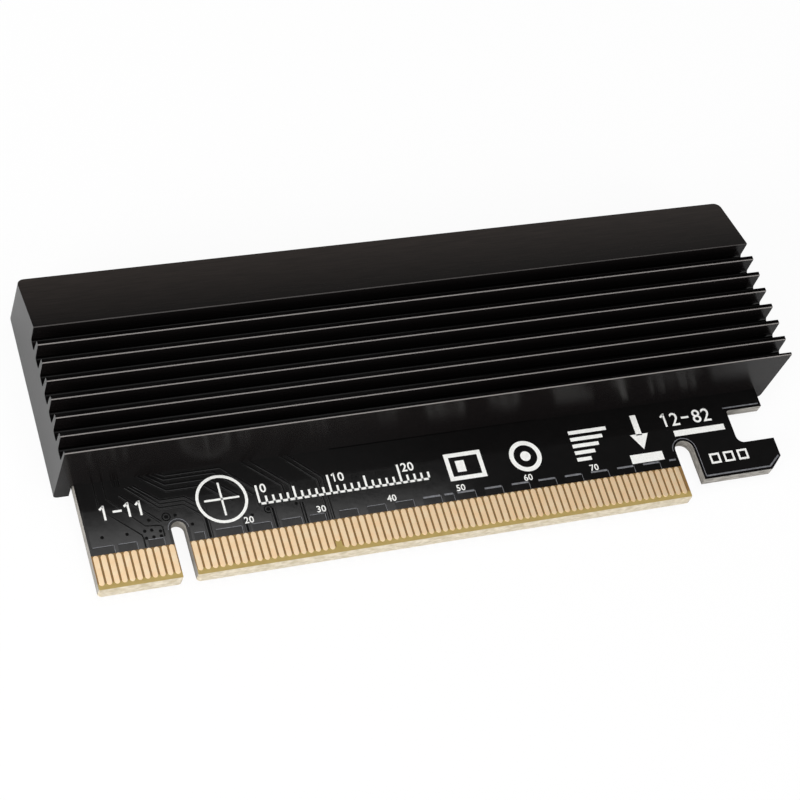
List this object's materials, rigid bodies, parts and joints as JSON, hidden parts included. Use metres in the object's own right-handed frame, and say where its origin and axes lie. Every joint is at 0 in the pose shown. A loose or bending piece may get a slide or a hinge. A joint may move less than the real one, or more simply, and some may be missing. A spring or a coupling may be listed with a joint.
{
  "type": "nvme adapter card",
  "caption": "Black adapter card with a full-length gold edge connector, a latch hook and a finned black heatsink that covers the bay for an M.2 drive.",
  "frame": {"origin": "middle of the card's outline, on the plane of the heatsink's feet under the board", "axes": "+X along the card towards the latch hook, +Y from the edge contacts towards the heatsink's back, +Z out of the component side, through the fins"},
  "size_m": [0.1044, 0.043, 0.0122],
  "materials": {
    "circuit_board": "gloss black solder mask",
    "gold_contact": "gold plated",
    "black_anodised": "black anodised",
    "thermal_pad": "soft matt",
    "screw_steel": "bright",
    "socket_plastic": "moulded",
    "solder_tin": "tinned",
    "nut_brass": "tin plated",
    "inductor_ferrite": "pressed powder",
    "chip_resin": "moulded",
    "ceramic": "fired",
    "resistor_body": "glazed"
  },
  "bodies": {
    "root": {"circuit_board": "circuit_board", "front_contacts": "gold_contact", "back_contacts": "gold_contact", "heatsink": "black_anodised", "thermal_pad": "thermal_pad", "heatsink_screws": "screw_steel", "socket_housing": "socket_plastic", "socket_upper_contacts": "gold_contact", "socket_lower_contacts": "gold_contact", "socket_tabs": "solder_tin", "drive_nuts": "nut_brass", "drive_screw": "screw_steel", "power_inductor": "inductor_ferrite", "regulator_chip": "chip_resin", "bulk_capacitors": "ceramic", "decoupling_capacitors": "ceramic", "resistors": "resistor_body", "chip_terminals": "solder_tin"}
  },
  "joints": []
}
